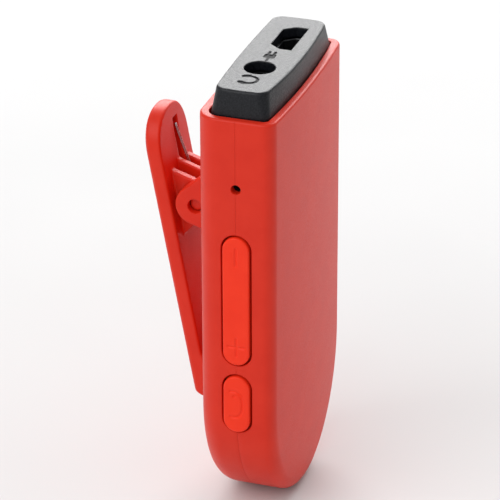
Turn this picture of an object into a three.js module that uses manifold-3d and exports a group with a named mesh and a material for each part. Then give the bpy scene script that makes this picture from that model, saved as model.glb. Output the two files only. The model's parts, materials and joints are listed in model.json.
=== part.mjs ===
// A clip-on digital audio player, in millimetres, +Z up.
// X runs across the case, Y from the front (negative) to the clip (positive).
// The origin is where the clip's jaw grips the flat rear face of the case.
import * as THREE from 'three';
import { mergeVertices } from 'three/addons/utils/BufferGeometryUtils.js';
import Module from 'manifold-3d';

const wasm = await Module();
wasm.setup();

// ---------------------------------------------------------------- driving dimensions
const FIT = 0.2;                 // gap between fixed neighbours
const RUNNING = 0.25;            // gap round a piece that moves
const ROUND = 20;                // facets of a small round piece

const CASE = { halfWidth: 14.4, depth: 10.9, edge: 2.9, rimZ: 43.2, arcTopZ: 1.75, arcDrop: 16.7 };
const WALL = { side: 1.2, back: 1.25, front: 1.0, edge: 1.7 };
const SEAM = { y: -5.45, gap: 0.1, lip: 0.5, lipDepth: 0.9 };
const CAP = { y: -5.57, width: 26.1, depth: 8.4, topWidth: 24.6, topDepth: 7.95,
  topZ: 46.4, bottomZ: 39.4, corner: 1.4, wall: 1.15, roof: 1.3 };
const FOOT = { cutZ: -13.3, roofZ: -12.2 };

const JACK = { x: -4.65, y: -5.4, bore: 1.98, socket: 1.8, width: 6.4, depth: 5.0, bottomZ: 31.5 };
const USB = { x: 5.38, y: -5.9, long: 7.2, short: 4.9, depth: 3.05, square: 1.55,
  bottomZ: 35.6, wall: 0.3 };
const CONNECTOR_TOP_Z = CAP.topZ - CAP.roof - FIT;

const KEY = { y: SEAM.y, width: 3.55, proud: 0.3, flange: 0.6, flangeThick: 0.5, gap: RUNNING };
const ROCKER = { z: 18.15, length: 18.15, pressAt: 6.6, wallGap: 0.4 };
const SINGLE = { z: 3.3, length: 8.1, wallGap: 0.45 };
const MIC = { z: 33.85, hole: 0.65, boot: 1.5, can: 1.8 };

const BOARD = { back: -2.8, thick: 0.8, inset: 2.8, topZ: 44.2 };
const BOARD_FRONT = BOARD.back - BOARD.thick;
const SWITCH = { reach: 11.1, deep: 3.2, wide: 4.4, high: 3.4, stem: 0.7, pocket: 0.9, stemDeep: 1.2 };
const BATTERY = { halfWidth: 7.6, bottomZ: -6, topZ: 28.5, front: -9.3, back: -5.6, edge: 1.1 };
const SCREW = { head: 1.3, headHigh: 0.7, shank: 0.7, boss: 1.9 };
const SCREW_PLACES = { upper: [9.6, 32.4], lower: [0, -8.4] };

const PIN = { y: 3.3, z: 25.9, radius: 0.88, earHole: 0.98, leverHole: 1.0, recess: 0.8 };
const EAR = { outer: 5.15, leftInner: 3.3, rightInner: 4.05, radius: 2.7, topZ: 32.3, footZ: 22 };
const LEVER = { halfWidth: 5.2, thick: 2.1, lean: 10.4 };
const WEB = { radius: 2.45, fall: 0.33, footZ: 20.2,
  places: [[-2.95, -1.85, 29.6], [-0.48, 0.48, 30.1], [2.6, 3.7, 29.5]] };   // from, to, top height
const PAD = { arcBottomZ: 31.9, arcRise: 5.45, power: 2.3, slotFrom: 0.48, slotTo: 2.0,
  slotTopZ: 35.2, slotFootZ: 27, slotDeep: 1.4, bend: 120 };
const JAW = { y: 2.07, z: 0, radius: 1.95 };
const SPRING = { wire: 0.18, coil: 1.75, pitch: 0.46, firstX: 1.15,
  legTop: [8.1, 34.3], legFoot: [0.45, 18.6] };

// ---------------------------------------------------------------- shape helpers
const degrees = THREE.MathUtils.degToRad;

/** Bring a geometry drawn in X and Y and grown along Z to stand along another axis. */
function turnTo(axis, geometry) {
  const basis = new THREE.Matrix4();
  if (axis === 'x') {
    basis.makeBasis(new THREE.Vector3(0, 1, 0), new THREE.Vector3(0, 0, 1), new THREE.Vector3(1, 0, 0));
  }
  if (axis === 'y') {
    basis.makeBasis(new THREE.Vector3(1, 0, 0), new THREE.Vector3(0, 0, 1), new THREE.Vector3(0, -1, 0));
  }
  return geometry.applyMatrix4(basis);
}

/** A closed solid from a geometry's faces. */
function solid(geometry) {
  geometry.deleteAttribute('normal');
  geometry.deleteAttribute('uv');
  const merged = mergeVertices(geometry, 1e-5);
  return new wasm.Manifold(new wasm.Mesh({
    numProp: 3,
    vertProperties: new Float32Array(merged.attributes.position.array),
    triVerts: new Uint32Array(merged.index.array),
  }));
}

/**
 * Extrude a shape between two places on an axis. Shapes are drawn in (X, Y) for 'z',
 * in (X, Z) for 'y' and in (Y, Z) for 'x'. round is the radius of the rolled edges.
 */
function extrude(axis, shape, from, to, round = 0, curveSegments = 12, bevelSegments = 3) {
  const low = Math.min(from, to);
  const high = Math.max(from, to);
  const geometry = new THREE.ExtrudeGeometry(shape, {
    depth: high - low - 2 * round,
    curveSegments,
    bevelEnabled: round > 0,
    bevelThickness: round,
    bevelSize: round,
    bevelOffset: -round,
    bevelSegments,
  });
  const start = axis === 'y' ? -high : low;
  geometry.translate(0, 0, start + round);
  return solid(turnTo(axis, geometry));
}

/** A box between two corners. */
function box(low, high) {
  const size = high.map((value, i) => value - low[i]);
  const geometry = new THREE.BoxGeometry(...size);
  geometry.translate(...low.map((value, i) => value + size[i] / 2));
  return solid(geometry);
}

/** A round bar along an axis; centre gives the other two coordinates in X, Y, Z order. */
function bar(axis, centre, radius, from, to, facets = ROUND) {
  const shape = new THREE.Shape();
  shape.absarc(centre[0], centre[1], radius, 0, 2 * Math.PI, false);
  return extrude(axis, shape, from, to, 0, facets / 2);
}

/** A rectangle with round corners about a centre. */
function roundedRectangle(centreA, centreB, width, height, corner) {
  const a = width / 2 - corner;
  const b = height / 2 - corner;
  const shape = new THREE.Shape();
  shape.absarc(centreA + a, centreB + b, corner, 0, Math.PI / 2, false);
  shape.absarc(centreA - a, centreB + b, corner, Math.PI / 2, Math.PI, false);
  shape.absarc(centreA - a, centreB - b, corner, Math.PI, 1.5 * Math.PI, false);
  shape.absarc(centreA + a, centreB - b, corner, 1.5 * Math.PI, 2 * Math.PI, false);
  shape.closePath();
  return shape;
}

/** A round-ended slot standing along the second axis. */
function pill(centreA, centreB, width, length) {
  const reach = (length - width) / 2;
  const shape = new THREE.Shape();
  shape.absarc(centreA, centreB + reach, width / 2, 0, Math.PI, false);
  shape.absarc(centreA, centreB - reach, width / 2, Math.PI, 2 * Math.PI, false);
  shape.closePath();
  return shape;
}

const polygon = (points) => new THREE.Shape(points.map(([a, b]) => new THREE.Vector2(a, b)));
const join = (first, ...rest) => rest.reduce((sum, piece) => sum.add(piece), first);
const cut = (first, ...rest) => rest.reduce((left, piece) => left.subtract(piece), first);

/** A round wire or lead through a list of points, as one closed tube. */
function wire(curve, radius, steps, sides = 8) {
  const section = new THREE.Shape();
  section.absarc(0, 0, radius, 0, 2 * Math.PI, false);
  const geometry = new THREE.ExtrudeGeometry(section, {
    steps, extrudePath: curve, curveSegments: sides / 2, bevelEnabled: false,
  });
  return solid(geometry);
}

// ---------------------------------------------------------------- the assembly
const player = new THREE.Group();

/** Add one named piece; finish is [colour, roughness, metalness]. */
function piece(name, shape, [color, roughness, metalness = 0]) {
  const { vertProperties, triVerts } = shape.getMesh();
  const geometry = new THREE.BufferGeometry();
  geometry.setAttribute('position', new THREE.BufferAttribute(new Float32Array(vertProperties), 3));
  geometry.setIndex(new THREE.BufferAttribute(new Uint32Array(triVerts), 1));
  geometry.computeVertexNormals();
  const mesh = new THREE.Mesh(geometry, new THREE.MeshStandardMaterial({ color, roughness, metalness }));
  mesh.name = name;
  player.add(mesh);
}

const FINISH = {
  redCase: [0xd4352a, 0.42],
  redKey: [0xf03c22, 0.38],
  blackCap: [0x25282b, 0.55],
  steel: [0xb9bcc0, 0.28, 1],
  blackPlastic: [0x17181a, 0.5],
  board: [0x1d5a36, 0.45],
  silver: [0xc6c8ca, 0.35, 1],
  gold: [0xd8b45a, 0.3, 1],
  chip: [0x1b1c1f, 0.6],
  pouch: [0xa9adb0, 0.4, 0.6],
  foam: [0x2b2b2d, 0.9],
  rubber: [0x202022, 0.8],
  ferrite: [0x3a3d40, 0.65],
  leadRed: [0xb92a22, 0.5],
  leadBlack: [0x1a1a1a, 0.5],
};

// ---------------------------------------------------------------- case shells
/** The case's front view: straight sides and a half-oval bottom, open upward past the rim. */
function caseOutline(inset) {
  const shape = new THREE.Shape();
  const half = CASE.halfWidth - inset;
  const over = CASE.rimZ + 12;
  shape.moveTo(half, over);
  shape.lineTo(-half, over);
  shape.lineTo(-half, CASE.arcTopZ);
  shape.absellipse(0, CASE.arcTopZ, half, CASE.arcDrop - inset, Math.PI, 2 * Math.PI, false);
  shape.closePath();
  return shape;
}

const OUTSIDE = 60;              // reach of the trimming boxes, well past the case
const below = (z) => box([-OUTSIDE, -OUTSIDE, -OUTSIDE], [OUTSIDE, OUTSIDE, z]);
const above = (z) => box([-OUTSIDE, -OUTSIDE, z], [OUTSIDE, OUTSIDE, OUTSIDE * 2]);
const behind = (y) => box([-OUTSIDE, y, -OUTSIDE], [OUTSIDE, OUTSIDE, OUTSIDE * 2]);
const before = (y) => box([-OUTSIDE, -OUTSIDE, -OUTSIDE], [OUTSIDE, y, OUTSIDE * 2]);

const caseBlock = cut(extrude('y', caseOutline(0), 0, -CASE.depth, CASE.edge, 28, 5), above(CASE.rimZ));
const cavity = extrude('y', caseOutline(WALL.side), -WALL.back, WALL.front - CASE.depth, WALL.edge, 24, 3);

/** The four side keys' openings: [side, centre height, length]. */
const keyPlaces = [-1, 1].flatMap((side) => [
  [side, ROCKER.z, ROCKER.length],
  [side, SINGLE.z, SINGLE.length],
]);

function keyOpening([side, z, length]) {
  const hole = pill(KEY.y, z, KEY.width + 2 * KEY.gap, length + 2 * KEY.gap);
  return extrude('x', hole, side * (CASE.halfWidth - 3), side * (CASE.halfWidth + 1));
}

/** A point at an angle on a circle about the hinge pin, as [y, z]. */
const aboutPin = (radius, angle) => [
  PIN.y + radius * Math.cos(degrees(angle)),
  PIN.z + radius * Math.sin(degrees(angle)),
];

/** A moulded hinge ear: round about the pin, spreading down onto the rear face. */
function hingeEar(from, to) {
  const rooted = -WALL.back / 3;
  const shape = polygon([[rooted, EAR.topZ], aboutPin(EAR.radius, 48), [PIN.y, PIN.z],
    aboutPin(EAR.radius, -68), [rooted, EAR.footZ]]);
  const ear = join(extrude('x', shape, from, to), bar('x', [PIN.y, PIN.z], EAR.radius, from, to, 32));
  return cut(ear, bar('x', [PIN.y, PIN.z], PIN.earHole, from - 1, to + 1));
}

const micHole = bar('x', [KEY.y, MIC.z], MIC.hole, -CASE.halfWidth - 1, -CASE.halfWidth + 3);
const shellBlock = cut(caseBlock, cavity, ...keyPlaces.map(keyOpening), micHole, below(FOOT.cutZ));

/** A ring just inside the walls that laps across the seam. */
function seamLip() {
  const outer = extrude('y', caseOutline(WALL.side - 0.3), SEAM.y + SEAM.lipDepth, SEAM.y - 2);
  const inner = extrude('y', caseOutline(WALL.side + SEAM.lip), SEAM.y + 3, SEAM.y - 4);
  const ring = cut(outer, inner, above(CAP.bottomZ - 0.5), below(FOOT.roofZ + FIT));
  const aroundKeys = keyPlaces.map(([side, z, length]) => box(
    side < 0 ? [-OUTSIDE, -OUTSIDE, z - length / 2 - 1.3] : [0, -OUTSIDE, z - length / 2 - 1.3],
    side < 0 ? [0, OUTSIDE, z + length / 2 + 1.3] : [OUTSIDE, OUTSIDE, z + length / 2 + 1.3],
  ));
  const aroundMic = box([-OUTSIDE, -OUTSIDE, MIC.z - 2.4], [0, OUTSIDE, MIC.z + 2.4]);
  return cut(ring, ...aroundKeys, aroundMic);
}

/** Post on the rear shell that takes a board screw. */
function boss([x, z]) {
  return bar('y', [x, z], SCREW.boss, -WALL.back + 0.3, BOARD.back + FIT);
}

const screwHole = ([x, z]) => bar('y', [x, z], SCREW.shank + 0.1, -0.9, -20);
const screwPlaces = Object.values(SCREW_PLACES);

const lipGroove = cut(
  extrude('y', caseOutline(WALL.side - 0.3 - FIT), SEAM.y + SEAM.lipDepth + FIT, SEAM.y - 2),
  above(CAP.bottomZ - 0.3),
);
const frontShell = join(cut(shellBlock, behind(SEAM.y)), seamLip());
const rearShell = join(
  cut(shellBlock, before(SEAM.y + SEAM.gap), lipGroove),
  ...screwPlaces.map(boss),
  hingeEar(-EAR.outer, -EAR.leftInner),
  hingeEar(EAR.rightInner, EAR.outer),
);
piece('front_shell', frontShell, FINISH.redCase);
piece('rear_shell', cut(rearShell, ...screwPlaces.map(screwHole)), FINISH.redCase);

/** The oval end of the case, with a plug that stands up inside the walls. */
function bottomCap() {
  const foot = cut(caseBlock, above(FOOT.cutZ - SEAM.gap));
  const plug = extrude('y', caseOutline(WALL.side + FIT), -WALL.back - FIT,
    WALL.front - CASE.depth + FIT, WALL.edge, 24, 3);
  return join(foot, cut(plug, above(FOOT.roofZ)));
}
piece('bottom_cap', bottomCap(), FINISH.redCase);

// ---------------------------------------------------------------- port cap
/** The mini receptacle's outline: square to the front, chamfered to the rear. */
function usbOutline(grow) {
  const front = USB.y - USB.depth / 2 - grow;
  const back = USB.y + USB.depth / 2 + grow;
  const half = USB.long / 2 + grow;
  const shortHalf = USB.short / 2 + grow * 0.7;
  const shoulder = USB.y - USB.depth / 2 + USB.square;
  return polygon([
    [USB.x - half, front],
    [USB.x + half, front],
    [USB.x + half, shoulder],
    [USB.x + shortHalf, back],
    [USB.x - shortHalf, back],
    [USB.x - half, shoulder],
  ]);
}

/** The cap's outer block: straight inside the case and drawn in above the rim. */
function capBlock() {
  const outline = roundedRectangle(0, 0, CAP.width, CAP.depth, CAP.corner);
  const geometry = new THREE.ExtrudeGeometry(outline, { depth: 1, curveSegments: 6, bevelEnabled: false });
  const position = geometry.attributes.position;
  for (let i = 0; i < position.count; i += 1) {
    const top = position.getZ(i) > 0.5;
    position.setX(i, position.getX(i) * (top ? CAP.topWidth / CAP.width : 1));
    position.setY(i, CAP.y + position.getY(i) * (top ? CAP.topDepth / CAP.depth : 1));
    position.setZ(i, top ? CAP.topZ : CASE.rimZ);
  }
  return join(solid(geometry), extrude('z', roundedRectangle(0, CAP.y, CAP.width, CAP.depth, CAP.corner),
    CAP.bottomZ, CASE.rimZ + 0.01, 0, 6));
}

function portCap() {
  const hollow = roundedRectangle(0, CAP.y, CAP.width - 2 * CAP.wall, CAP.depth - 2 * CAP.wall, 0.8);
  return cut(
    capBlock(),
    extrude('z', hollow, CAP.bottomZ - 1, CAP.topZ - CAP.roof, 0, 4),
    bar('z', [JACK.x, JACK.y], JACK.bore, CAP.topZ - 5, CAP.topZ + 1, 32),
    extrude('z', usbOutline(0), CAP.topZ - 5, CAP.topZ + 1),
  );
}
piece('port_cap', portCap(), FINISH.blackCap);

// ---------------------------------------------------------------- side keys
/** A key cap with its inner flange and the nibs that press the switches. */
function sideKey(side, place, pressHeights) {
  const face = side * (CASE.halfWidth + KEY.proud);
  const flangeOuter = side * (CASE.halfWidth - WALL.side - place.wallGap);
  const flangeInner = flangeOuter - side * KEY.flangeThick;
  const stem = extrude('x', pill(KEY.y, place.z, KEY.width, place.length), flangeInner, face, 0.15, 8, 2);
  const flange = extrude('x', roundedRectangle(KEY.y, place.z, KEY.width + 2 * KEY.flange,
    place.length + 2 * KEY.flange, 1.2), flangeOuter, flangeInner, 0, 4);
  const nibs = pressHeights.map((z) => box(
    [Math.min(flangeInner, side * (SWITCH.reach + SWITCH.stem + 0.05)), KEY.y - 0.7, z - 0.9],
    [Math.max(flangeInner, side * (SWITCH.reach + SWITCH.stem + 0.05)), KEY.y + 0.7, z + 0.9],
  ));
  return join(stem, flange, ...nibs);
}

const rockerPresses = [ROCKER.z + ROCKER.pressAt, ROCKER.z - ROCKER.pressAt];
piece('volume_rocker', sideKey(-1, ROCKER, rockerPresses), FINISH.redKey);
piece('power_key', sideKey(-1, SINGLE, [SINGLE.z]), FINISH.redKey);
piece('skip_rocker', sideKey(1, ROCKER, rockerPresses), FINISH.redKey);
piece('play_key', sideKey(1, SINGLE, [SINGLE.z]), FINISH.redKey);

// ---------------------------------------------------------------- switches
/** A side switch soldered on the board's front, with a pocket for its plunger. */
function switchBody(side, z) {
  const mouth = side * SWITCH.reach;
  const rear = side * (SWITCH.reach - SWITCH.deep);
  const block = box(
    [Math.min(mouth, rear), BOARD_FRONT - FIT - SWITCH.high, z - SWITCH.wide / 2],
    [Math.max(mouth, rear), BOARD_FRONT - FIT, z + SWITCH.wide / 2],
  );
  return cut(block, bar('x', [KEY.y, z], SWITCH.pocket, side * (SWITCH.reach - SWITCH.stemDeep - 0.6),
    side * (SWITCH.reach + 1)));
}

const plunger = (side, z) => bar('x', [KEY.y, z], SWITCH.pocket - FIT,
  side * (SWITCH.reach - SWITCH.stemDeep), side * (SWITCH.reach + SWITCH.stem - 0.1));

const switches = [
  ['volume_down', -1, rockerPresses[0]],
  ['volume_up', -1, rockerPresses[1]],
  ['power', -1, SINGLE.z],
  ['skip_back', 1, rockerPresses[0]],
  ['skip_forward', 1, rockerPresses[1]],
  ['play', 1, SINGLE.z],
];
for (const [name, side, z] of switches) {
  piece(`${name}_switch`, switchBody(side, z), FINISH.silver);
  piece(`${name}_plunger`, plunger(side, z), FINISH.blackPlastic);
}

// ---------------------------------------------------------------- board and its parts
function mainBoard() {
  const notch = box([JACK.x - JACK.width / 2 - 0.3, -OUTSIDE, JACK.bottomZ - 0.3],
    [JACK.x + JACK.width / 2 + 0.3, OUTSIDE, OUTSIDE]);
  const shoulders = [-1, 1].map((side) => box(
    [side < 0 ? -OUTSIDE : 11.2, -OUTSIDE, CAP.bottomZ - 0.5],
    [side < 0 ? -11.2 : OUTSIDE, OUTSIDE, OUTSIDE],
  ));
  return cut(
    extrude('y', caseOutline(BOARD.inset), BOARD.back, BOARD_FRONT, 0, 24),
    above(BOARD.topZ),
    notch,
    ...shoulders,
    below(FOOT.roofZ + 1),
    ...screwPlaces.map(screwHole),
  );
}
piece('main_board', mainBoard(), FINISH.board);

/** A block soldered on the board's front face, centred at x, z. */
function onBoard(x, z, width, height, thick) {
  const back = BOARD_FRONT - 0.05;
  return box([x - width / 2, back - thick, z - height / 2], [x + width / 2, back, z + height / 2]);
}
piece('processor_chip', onBoard(-2.4, 22, 7, 7, 0.9), FINISH.chip);
piece('flash_chip', onBoard(0, 6, 12, 9, 1.0), FINISH.chip);
piece('crystal_can', onBoard(4.6, 20, 3.2, 2.5, 0.7), FINISH.silver);
piece('power_inductor', onBoard(4.4, 15, 3, 3, 1.2), FINISH.ferrite);
piece('charge_chip', onBoard(6.0, 31.6, 2.9, 2.9, 0.9), FINISH.chip);

// ---------------------------------------------------------------- headphone jack
const jackSlots = [[-1, 41.2], [1, 38.2], [-1, 35.2]];
const CONTACT = { wide: 1.6, thick: 0.25, high: 2.2 };

function headphoneJack() {
  const block = box(
    [JACK.x - JACK.width / 2, JACK.y - JACK.depth / 2, JACK.bottomZ],
    [JACK.x + JACK.width / 2, JACK.y + JACK.depth / 2, CONNECTOR_TOP_Z],
  );
  const windows = jackSlots.map(([side, z]) => box(
    [Math.min(JACK.x, JACK.x + side * 9), JACK.y - CONTACT.wide / 2 - FIT, z - CONTACT.high / 2 - FIT],
    [Math.max(JACK.x, JACK.x + side * 9), JACK.y + CONTACT.wide / 2 + FIT, z + CONTACT.high / 2 + FIT],
  ));
  const socket = bar('z', [JACK.x, JACK.y], JACK.socket, JACK.bottomZ + 1.5, CAP.topZ + 1, 24);
  return cut(block, socket, ...windows);
}
piece('headphone_jack', headphoneJack(), FINISH.blackPlastic);

/** A bowed leaf that stands in the jack's side window and bears on the plug. */
function jackContact([side, z]) {
  const reach = JACK.width / 2;
  const bow = (offset) => [
    [JACK.x + side * (reach - 0.1 - offset), z + CONTACT.high / 2],
    [JACK.x + side * (JACK.socket + 0.05 - offset), z],
    [JACK.x + side * (reach - 0.1 - offset), z - CONTACT.high / 2],
  ];
  const points = [...bow(0), ...bow(-CONTACT.thick).reverse()];
  const outline = polygon(side < 0 ? points : points.slice().reverse());
  return extrude('y', outline, JACK.y - CONTACT.wide / 2, JACK.y + CONTACT.wide / 2);
}
['tip', 'ring', 'sleeve'].forEach((name, i) => {
  piece(`jack_${name}_contact`, jackContact(jackSlots[jackSlots.length - 1 - i]), FINISH.gold);
});

// ---------------------------------------------------------------- USB receptacle
function usbShell() {
  return cut(
    extrude('z', usbOutline(USB.wall), USB.bottomZ, CONNECTOR_TOP_Z),
    extrude('z', usbOutline(0), USB.bottomZ + 0.4, CAP.topZ),
  );
}
piece('usb_shell', usbShell(), FINISH.silver);
piece('usb_tongue', box(
  [USB.x - 2.3, USB.y - 0.45, USB.bottomZ + 0.5],
  [USB.x + 2.3, USB.y + 0.35, CONNECTOR_TOP_Z - 1.6],
), FINISH.blackPlastic);

// ---------------------------------------------------------------- microphone
const wallInside = CASE.halfWidth - WALL.side;
const micBack = wallInside - 1.5;
piece('mic_boot', cut(
  bar('x', [KEY.y, MIC.z], MIC.boot, -micBack + FIT / 2, -wallInside + FIT / 2),
  bar('x', [KEY.y, MIC.z], MIC.hole, -OUTSIDE, 0),
), FINISH.rubber);
piece('microphone',
  bar('x', [KEY.y, MIC.z], MIC.can, -micBack + FIT, -micBack + FIT + 1.5, 24), FINISH.silver);

// ---------------------------------------------------------------- battery
function batteryCell() {
  const section = roundedRectangle(0, (BATTERY.front + BATTERY.back) / 2, 2 * BATTERY.halfWidth,
    BATTERY.back - BATTERY.front, BATTERY.edge);
  return extrude('z', section, BATTERY.bottomZ, BATTERY.topZ, 0, 4);
}
piece('battery_cell', batteryCell(), FINISH.pouch);
piece('battery_pad', box([-6, -9.72, 0], [6, BATTERY.front - 0.05, 22]), FINISH.foam);

/** A lead from the battery's top edge, up and back to the board. */
function batteryLead(x) {
  return wire(new THREE.CatmullRomCurve3([
    new THREE.Vector3(x, -7.2, BATTERY.topZ + 0.1),
    new THREE.Vector3(x, -7.1, BATTERY.topZ + 1.0),
    new THREE.Vector3(x, -5.8, BATTERY.topZ + 1.7),
    new THREE.Vector3(x, BOARD_FRONT - 0.1, BATTERY.topZ + 1.8),
  ]), 0.4, 10);
}
piece('battery_lead_red', batteryLead(0.8), FINISH.leadRed);
piece('battery_lead_black', batteryLead(2.2), FINISH.leadBlack);

/** A pan-head screw through the board into its boss. */
function boardScrew([x, z]) {
  const headBack = BOARD_FRONT - 0.05;
  return join(
    bar('y', [x, z], SCREW.head, headBack, headBack - SCREW.headHigh),
    bar('y', [x, z], SCREW.shank - 0.05, -1.1, headBack - 0.1, 12),
  );
}
for (const [name, place] of Object.entries(SCREW_PLACES)) {
  piece(`board_screw_${name}`, boardScrew(place), FINISH.steel);
}

// ---------------------------------------------------------------- clip
/** Where the lever's middle line lies at a height: straight, then bending inward at the pad. */
function leverMiddle(z) {
  const slope = Math.tan(degrees(LEVER.lean));
  const past = Math.max(0, z - PAD.arcBottomZ);
  return JAW.y + 0.93 + slope * (z - 0.4) - past * past / PAD.bend;
}

/** The lever's side view without its jaw: a leaning plate. */
function leverProfile() {
  const half = LEVER.thick / 2 / Math.cos(degrees(LEVER.lean));
  const padTopZ = PAD.arcBottomZ + PAD.arcRise;
  const heights = [2.0, PAD.arcBottomZ, (PAD.arcBottomZ + padTopZ) / 2, padTopZ];
  const outer = heights.map((z) => [leverMiddle(z) + half, z]);
  const inner = heights.map((z) => [leverMiddle(z) - half, z]).reverse();
  return polygon([...outer, ...inner]);
}

/** The lever seen from behind: straight sides and an arched finger pad. */
function leverFace() {
  const half = LEVER.halfWidth;
  const foot = JAW.z - JAW.radius - 1;
  const shape = new THREE.Shape();
  shape.moveTo(-half, foot);
  shape.lineTo(half, foot);
  const steps = 22;
  for (let i = 0; i <= steps; i += 1) {
    const turn = Math.PI * i / steps;
    const across = Math.sign(Math.cos(turn)) * Math.abs(Math.cos(turn)) ** (2 / PAD.power);
    shape.lineTo(half * across, PAD.arcBottomZ + PAD.arcRise * Math.sin(turn) ** (2 / PAD.power));
  }
  shape.closePath();
  return shape;
}

/** The wedge that thickens the lever's foot into its round jaw. */
function jawNeck() {
  return polygon([
    [JAW.y - 1.37, 1.4],
    [JAW.y + 1.83, -0.6],
    [leverMiddle(4) + 1, 4],
    [leverMiddle(4) - 1, 4],
  ]);
}

/** A web between the plate and the pin: its top falls toward the case and it is round about the pin. */
function leverWeb([from, to, topZ]) {
  const rooted = (z) => [leverMiddle(z) - LEVER.thick / 3, z];
  const noseY = PIN.y + 0.3;
  const nose = [noseY, topZ - WEB.fall * (rooted(topZ)[0] - noseY)];
  const shape = polygon([rooted(topZ), nose, aboutPin(WEB.radius, 165), [PIN.y, PIN.z],
    aboutPin(WEB.radius, -100), rooted(WEB.footZ)]);
  const web = join(extrude('x', shape, from, to), bar('x', [PIN.y, PIN.z], WEB.radius, from, to, 28));
  return cut(web, bar('x', [PIN.y, PIN.z], PIN.leverHole, from - 1, to + 1));
}

/** The channel in the pad's inner face that the spring's upper leg lies in. */
function padSlot() {
  const floor = (z) => leverMiddle(z) - LEVER.thick / 2 + PAD.slotDeep;
  const mouth = PIN.y + 2.6;
  const { slotFootZ, slotTopZ } = PAD;
  const shape = polygon([[mouth, slotFootZ], [floor(slotFootZ), slotFootZ], [floor(slotTopZ), slotTopZ],
    [mouth, slotTopZ]]);
  return extrude('x', shape, PAD.slotFrom, PAD.slotTo);
}

function clipLever() {
  const reach = LEVER.halfWidth + 1;
  const blank = join(
    extrude('x', leverProfile(), -reach, reach),
    bar('x', [JAW.y, JAW.z], JAW.radius, -reach, reach, 28),
    extrude('x', jawNeck(), -reach, reach),
  );
  const plate = blank.intersect(extrude('y', leverFace(), -5, 20));
  return cut(join(plate, ...WEB.places.map(leverWeb)), padSlot());
}
piece('clip_lever', clipLever(), FINISH.redCase);

const pinReach = EAR.outer - PIN.recess;
piece('hinge_pin', bar('x', [PIN.y, PIN.z], PIN.radius, -pinReach, pinReach, 24), FINISH.redCase);

/** Where a line from a far point touches the coil, going clockwise about the pin or the other way. */
function coilTangent([y, z], clockwise) {
  const distance = Math.hypot(y - PIN.y, z - PIN.z);
  const bearing = Math.atan2(z - PIN.z, y - PIN.y);
  return bearing + (clockwise ? -1 : 1) * Math.acos(SPRING.coil / distance);
}

/** The torsion spring: a leg in the pad's slot, a coil on the pin and a leg on the rear face. */
function clipSpring() {
  const onCoil = (angle, x) => new THREE.Vector3(
    x,
    PIN.y + SPRING.coil * Math.cos(angle),
    PIN.z + SPRING.coil * Math.sin(angle),
  );
  const start = coilTangent(SPRING.legTop, true);
  const sweep = 4 * Math.PI + start - coilTangent(SPRING.legFoot, false);
  const lastX = SPRING.firstX + SPRING.pitch * sweep / (2 * Math.PI);
  const points = [];
  const leg = (from, to, count) => {
    for (let i = 0; i < count; i += 1) {
      points.push(from.clone().lerp(to, i / count));
    }
  };
  leg(new THREE.Vector3(SPRING.firstX, ...SPRING.legTop), onCoil(start, SPRING.firstX), 6);
  const steps = 40;
  for (let i = 0; i <= steps; i += 1) {
    points.push(onCoil(start - sweep * i / steps, SPRING.firstX + (lastX - SPRING.firstX) * i / steps));
  }
  leg(new THREE.Vector3(lastX, ...SPRING.legFoot), points[points.length - 1], 6);
  const foot = points.splice(-6).reverse();
  return wire(new THREE.CatmullRomCurve3([...points, ...foot], false, 'centripetal'), SPRING.wire, 120, 6);
}
piece('clip_spring', clipSpring(), FINISH.steel);

export default player;
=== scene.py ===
"""The looks of a clip-on digital audio player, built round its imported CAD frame.

Shapes are worked out in millimetres in the row frame (X across the case, Y from front to clip, Z up)
and turned into metres when a mesh is made.
"""

import itertools
import json
import math

import bmesh
import bpy
import numpy as np
from mathutils import Matrix, Vector


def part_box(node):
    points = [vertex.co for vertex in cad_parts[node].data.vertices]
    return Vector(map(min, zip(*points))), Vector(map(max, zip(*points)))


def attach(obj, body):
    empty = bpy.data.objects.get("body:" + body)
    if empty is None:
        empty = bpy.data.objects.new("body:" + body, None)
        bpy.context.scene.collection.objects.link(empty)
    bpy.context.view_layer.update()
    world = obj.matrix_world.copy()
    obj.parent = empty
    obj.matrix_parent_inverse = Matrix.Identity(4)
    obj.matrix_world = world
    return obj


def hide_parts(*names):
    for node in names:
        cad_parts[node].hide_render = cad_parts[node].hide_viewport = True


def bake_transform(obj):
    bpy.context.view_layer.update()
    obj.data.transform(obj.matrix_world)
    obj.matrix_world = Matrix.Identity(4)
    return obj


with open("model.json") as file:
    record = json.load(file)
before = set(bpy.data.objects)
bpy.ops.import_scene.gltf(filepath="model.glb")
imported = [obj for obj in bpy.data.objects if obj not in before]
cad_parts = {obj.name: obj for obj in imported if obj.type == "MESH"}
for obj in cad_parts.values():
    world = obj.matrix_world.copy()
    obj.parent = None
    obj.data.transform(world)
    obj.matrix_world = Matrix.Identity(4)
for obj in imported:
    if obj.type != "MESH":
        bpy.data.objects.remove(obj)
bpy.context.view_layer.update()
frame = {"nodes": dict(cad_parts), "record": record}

MM = 0.001


def box_mm(node):
    """Lowest and highest corner of a CAD node, in millimetres."""
    low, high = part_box(node)
    return np.array(low) / MM, np.array(high) / MM


# ---------------------------------------------------------------- driving dimensions
FRONT_LOW, FRONT_HIGH = box_mm("front_shell")
CAP_LOW, CAP_HIGH = box_mm("port_cap")
HALF_WIDTH = FRONT_HIGH[0]
RIM_Z = FRONT_HIGH[2]
FACE_Y = FRONT_LOW[1]
BACK_Y = 0.0
BOTTOM_Z = box_mm("bottom_cap")[0][2]
ARC_TOP_Z = 1.75                     # where the straight sides turn into the half-oval bottom
ARC_ROWS, SIDE_ROWS = 44, 17         # rows of points up the oval and up the straight sides
EDGE = 2.9                           # radius of the case's rear edges
FRONT_EDGE = 1.6                     # radius of the case's front edges
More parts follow.
